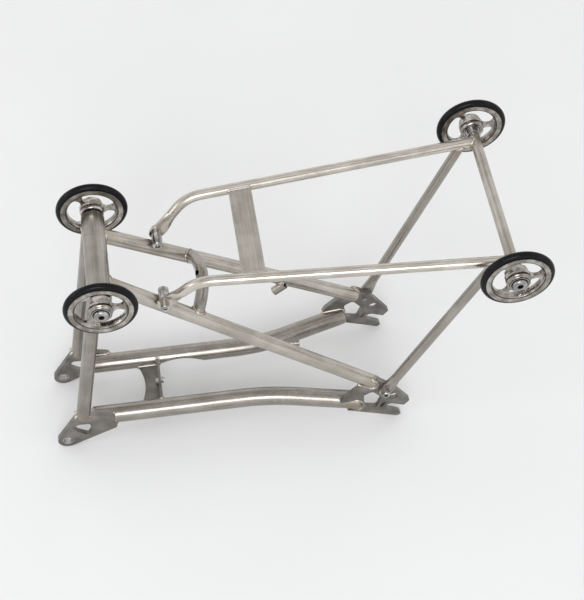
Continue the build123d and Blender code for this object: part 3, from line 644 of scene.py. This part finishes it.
tyre_rubber = rubber("tyre_rubber")
rim_metals = {}
for end in ("front", "rear"):
    axle = middle_of(f"{end}_rim_right")
    axle.y = 0
    rim_metals[end] = turned(f"{end}_rim_metal", RIM_DARK, RIM_LIGHT, RIM_ROUGH, axle, RIM_SHADED_GROOVES)
    bolt_metal = turned(f"{end}_bolt_steel", STEEL_DARK, STEEL_LIGHT, BOLT_ROUGH, axle, BOLT_SHADED_GROOVES)
    for side in SIDES:
        paint(f"{end}_tyre_{side}", tyre_rubber)
        paint(f"{end}_seals_{side}", bolt_metal)
        paint(f"{end}_bearings_{side}", bolt_metal)
    for part in ("wheel_bolts", "washers", "spacers", "plugs"):
        paint(f"{end}_{part}", bolt_metal)
hardware = turned("hardware_steel", STEEL_DARK, STEEL_LIGHT, HARDWARE_ROUGH)
for node in ("pivot_bush_left", "pivot_bush_right", "rack_boss_left", "rack_boss_right",
             "yoke_bolt", "yoke_nut", "rack_front_bolts", "rack_stay_bolts"):
    paint(node, hardware)

# %% [markdown]
# ## Lay the welds
#
# Each line names the piece whose sharp edges make the seam, the piece they lie on, and how many runs of
# bead are laid at most. A round tube on another takes one run. A tube slotted over a plate takes
# several, and the plate's own edges take a second, wider set round the tube's rounded end.

# %% Weld beads
SLOT_RUNS, PLATE_RUNS, YOKE_RUNS = 4, 6, 2

bead_metal = weld_metal("weld_metal")
for side in SIDES:
    weld(f"weld_strut_top_{side}", f"front_strut_{side}", "cross_tube", bead_metal)
    weld(f"weld_stay_front_{side}", f"seatstay_{side}", "cross_tube", bead_metal)
    for name, tube in (("strut_foot", "front_strut"), ("chainstay_front", "chainstay")):
        weld(f"weld_{name}_{side}", f"{tube}_{side}", f"pivot_plate_{side}", bead_metal, SLOT_RUNS)
    for tube, plate in (("chainstay", "dropout"), ("seatstay", "dropout"),
                        ("front_strut", "pivot_plate"), ("chainstay", "pivot_plate")):
        weld(f"weld_{tube}_in_{plate}_{side}", f"{plate}_{side}", f"{tube}_{side}", bead_metal,
             PLATE_RUNS, WIDE_BEAD, WIDE_TOUCH)
    weld(f"weld_bridge_{side}", "brake_bridge", f"seatstay_{side}", bead_metal)
    weld(f"weld_yoke_{side}", "chainstay_yoke", f"chainstay_{side}", bead_metal, YOKE_RUNS)
    weld(f"weld_boss_{side}", f"rack_boss_{side}", f"seatstay_{side}", bead_metal)
    weld(f"weld_rack_corner_{side}", f"rack_side_tube_{side}", "rack_rear_tube", bead_metal)
    weld(f"weld_rack_stay_{side}", f"rack_stay_{side}", f"rack_side_tube_{side}", bead_metal)
    weld(f"weld_rack_plate_{side}", "rack_plate", f"rack_side_tube_{side}", bead_metal)
weld("weld_lamp_plate", "lamp_plate", "rack_rear_tube", bead_metal)
weld("weld_cable_stop", "cable_stop", "seatstay_right", bead_metal)
weld("weld_cable_guide", "cable_guide", "chainstay_right", bead_metal)

# %% [markdown]
# ## The roller rims
#
# Each roller's rim, web and hub were turned from one disc of aluminium, and three bean-shaped windows
# were then milled through the web, which leaves spokes that flare at both ends. It is made the same
# way, and stands in for the plainer CAD rim. First a closed profile is spun round the axle. The profile
# is in millimetres: how far out from the axle, and how far along it.

# %% Spin one rim
TURNS = 120
RIM_FACE = 7.6  # the outermost point of the hub, along the axle
RIM_PROFILE = (
    (8.95, RIM_FACE), (9.8, RIM_FACE), (10.2, 7.2), (10.2, 5.6), (10.8, 5.0), (10.8, 3.4),
    (11.3, 2.3), (12.4, 1.7), (22.2, 1.7), (23.1, 2.2), (23.6, 3.2), (24.2, 3.9), (25.0, 4.15),
    (27.2, 3.75), (29.2, 4.35), (29.8, 4.3), (30.0, 4.0), (28.8, 3.0), (27.6, 1.7), (27.1, 0.0),
    (27.6, -1.7), (28.8, -3.0), (30.0, -4.0), (29.8, -4.3), (29.2, -4.35), (27.2, -3.75),
    (25.0, -4.15), (24.2, -3.9), (23.6, -3.2), (23.1, -2.2), (22.2, -1.7), (12.4, -1.7),
    (11.3, -2.3), (10.8, -3.4), (10.8, -6.4), (10.2, -7.0), (8.95, -7.0),
)


def shaped_circle(points):
    """Add a circle and put its corners at these places, as a closed outline."""
    bpy.ops.mesh.primitive_circle_add(vertices=len(points), radius=1.0, fill_type="NOTHING")
    outline = bpy.context.object
    for vertex, point in zip(outline.data.vertices, points):
        vertex.co = point
    return outline


def spun_rim():
    """Spin the rim's profile round the Y axis at the origin."""
    rim = shaped_circle([(radius * MM, out * MM, 0) for radius, out in RIM_PROFILE])
    only(rim)
    bpy.ops.object.mode_set(mode="EDIT")
    bpy.ops.mesh.select_all(action="SELECT")
    bpy.ops.mesh.spin(steps=TURNS, angle=math.tau, center=(0, 0, 0), axis=(0, 1, 0))
    bpy.ops.mesh.select_all(action="SELECT")
    bpy.ops.mesh.remove_doubles(threshold=MERGE)
    bpy.ops.mesh.normals_make_consistent(inside=False)
    bpy.ops.object.mode_set(mode="OBJECT")
    return rim


first_rim = spun_rim()
print("spun rim faces:", len(first_rim.data.polygons))

# %% [markdown]
# Three cutters then take out the windows. Each is a capsule bent round the axle: two half circles,
# joined by the two arcs between them. A fine bevel softens what the cutters left sharp.

# %% Cut its windows
WINDOWS = 3
BEAN_MIDDLE, BEAN_RADIUS = 17.3, 5.8  # a window's middle line and its half width
SPOKE = 4.2
BEAN_DEPTH, BEAN_STEPS = 8.0, 16
RIM_BEVEL, BEVEL_CUTS = 0.35 * MM, 2
BEVEL_OVER, SMOOTH_UNDER = math.radians(48), math.radians(28)


def apply_modifier(obj, kind, **settings):
    """Add a modifier, set it and apply it."""
    only(obj)
    modifier = obj.modifiers.new(kind.title(), kind)
    for key, value in settings.items():
        setattr(modifier, key, value)
    bpy.ops.object.modifier_apply(modifier=modifier.name)


def bean(turn_by):
    """Make one window cutter: a capsule bent round the axle, through the web."""
    half = math.pi / WINDOWS - (SPOKE / 2 + BEAN_RADIUS) / BEAN_MIDDLE
    outline = []

    def corner_at(out, angle):
        outline.append((out * math.cos(angle) * MM, -BEAN_DEPTH / 2 * MM, out * math.sin(angle) * MM))

    for corner, start in ((half, 0.0), (-half, math.pi)):
        for step in range(BEAN_STEPS + 1):
            swing = start + math.pi * step / BEAN_STEPS
            along, out = BEAN_RADIUS * math.sin(swing), BEAN_MIDDLE + BEAN_RADIUS * math.cos(swing)
            corner_at(out, turn_by + corner + along / BEAN_MIDDLE)
        for step in range(1, BEAN_STEPS):
            out = BEAN_MIDDLE + BEAN_RADIUS * math.cos(start + math.pi)
            corner_at(out, turn_by + corner - 2 * corner * step / BEAN_STEPS)
    cutter = shaped_circle(outline)
    only(cutter)
    bpy.ops.object.mode_set(mode="EDIT")
    bpy.ops.mesh.select_all(action="SELECT")
    bpy.ops.mesh.edge_face_add()
    bpy.ops.mesh.extrude_region_move(TRANSFORM_OT_translate={"value": (0, BEAN_DEPTH * MM, 0)})
    bpy.ops.mesh.select_all(action="SELECT")
    bpy.ops.mesh.normals_make_consistent(inside=False)
    bpy.ops.object.mode_set(mode="OBJECT")
    return cutter


for window in range(WINDOWS):
    cutter = bean(math.tau * (window + 0.5) / WINDOWS)
    apply_modifier(first_rim, "BOOLEAN", object=cutter, operation="DIFFERENCE", solver="EXACT")
    bpy.data.objects.remove(cutter)
apply_modifier(first_rim, "BEVEL", width=RIM_BEVEL, segments=BEVEL_CUTS, limit_method="ANGLE",
               angle_limit=BEVEL_OVER)
only(first_rim)
bpy.ops.object.shade_smooth_by_angle(angle=SMOOTH_UNDER)
print("rim faces:", len(first_rim.data.polygons))

# %% [markdown]
# The left rims are mirrored, so that every hub's long side faces outward. Mirroring turns their faces
# inside out, which is put right at once.

# %% Put a copy on each wheel
for end in ("front", "rear"):
    for side, sign in SIDES.items():
        low, high = box_of(f"{end}_rim_{side}")
        place = Vector((low.x + high.x, 0, low.z + high.z)) / 2
        place.y = (high.y if sign > 0 else low.y) - sign * RIM_FACE * MM
        only(first_rim)
        bpy.ops.object.duplicate()
        rim = bpy.context.object
        rim.name = rim.data.name = f"turned_rim_{end}_{side}"
        rim.data.transform(Matrix.Translation(place) @ Matrix.Diagonal((1, sign, 1, 1)))
        if sign < 0:
            only(rim)
            bpy.ops.object.mode_set(mode="EDIT")
            bpy.ops.mesh.select_all(action="SELECT")
            bpy.ops.mesh.flip_normals()
            bpy.ops.object.mode_set(mode="OBJECT")
        rim.data.materials.clear()
        rim.data.materials.append(rim_metals[end])
        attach(rim, f"{end}_wheel_{side}")
        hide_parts(f"{end}_rim_{side}")
        print(rim.name, "at", place)
bpy.data.objects.remove(first_rim)

# %% [markdown]
# ## Floor and light
#
# The frame stands on a floor covered in pale cloth. Metal shows what is around it, so the room matters
# as much as the lamps. A large soft window, high on the near side, gives each tube its long highlight
# and lays a soft shadow behind it. A small one lights the front end. The room itself is white from the
# horizon up; only a ring high above, short of straight overhead, is darker, and it greys the tops.

# %% Floor
FLOOR_REACH, FLOOR_MIDDLE = 6.0, 0.2
# Painted shade and light: the cloth is darker in the hollows of its folds and lighter on their tops.
CLOTH_FOLD_SHADE, CLOTH_FOLD_LIT = (0.84, 0.84, 0.84, 1), (0.89, 0.89, 0.895, 1)
CLOTH_ROUGH = 0.9
FOLDS, WEAVE = 4.0, 900.0
FOLD_HEIGHT, WEAVE_HEIGHT = 0.8, 0.02
CLOTH_DEPTH, CLOTH_STRENGTH = 0.012, 0.25

bpy.ops.mesh.primitive_plane_add(size=2 * FLOOR_REACH, location=(FLOOR_MIDDLE, 0, cad_low.z))
floor = bpy.context.object
bpy.ops.object.transform_apply(location=True, rotation=True, scale=True)
floor.name = floor.data.name = "floor"
cloth = Finish(bpy.data.materials.new("pale_cloth"))
cloth_place = cloth.place()
folds = cloth.noise(cloth_place, FOLDS, 3.0)
weave = cloth.noise(cloth_place, WEAVE, 2.0)
cloth_height = folds * FOLD_HEIGHT + weave * WEAVE_HEIGHT
# Painted shade: the fold noise darkens the cloth where it dips.
floor.data.materials.append(cloth.surface({
    "Base Color": cloth.mix(folds, CLOTH_FOLD_SHADE, CLOTH_FOLD_LIT),
    "Roughness": CLOTH_ROUGH,
    "Normal": cloth.bump(cloth_height, CLOTH_DEPTH, CLOTH_STRENGTH)}))

# %% Lamps
LAMP_TARGET = Vector((0.22, 0, 0.1))
LAMPS = (  # name, place, size, power, colour
    ("near_window", (-0.25, -3.7, 2.9), 2.05, 62.0, (0.95, 0.975, 1.0)),
    ("left_window", (-1.7, -0.3, 1.0), 0.6, 3.0, (0.96, 0.98, 1.0)),
)

for name, place, size, power, colour in LAMPS:
    bpy.ops.object.light_add(type="AREA", location=place)
    lamp = bpy.context.object
    lamp.name = name
    lamp.rotation_euler = (LAMP_TARGET - Vector(place)).to_track_quat("-Z", "Y").to_euler()
    lamp.data.size, lamp.data.energy, lamp.data.color = size, power, colour

# %% The room
ROOM_STRENGTH = 1.05
ROOM_LEVELS = ((0.0, 1.0), (0.6, 0.95), (0.86, 0.5), (1.0, 1.0))  # how high, and how bright there

room = Finish(bpy.data.worlds.new("room"))
direction = room.node("ShaderNodeTexCoord", {}, {}, "Generated")
upward = room.node("ShaderNodeSeparateXYZ", {}, {0: direction}, "Z")
brightness = room.node("ShaderNodeValToRGB", {
    "stops": [(height, (level, level, level, 1)) for height, level in ROOM_LEVELS]}, {0: upward})
glow = room.node("ShaderNodeBackground", {}, {"Color": brightness, "Strength": ROOM_STRENGTH})
room.node("ShaderNodeOutputWorld", {}, {"Surface": glow})
bpy.context.scene.world = room.holder
bpy.context.scene.view_settings.view_transform = "Standard"
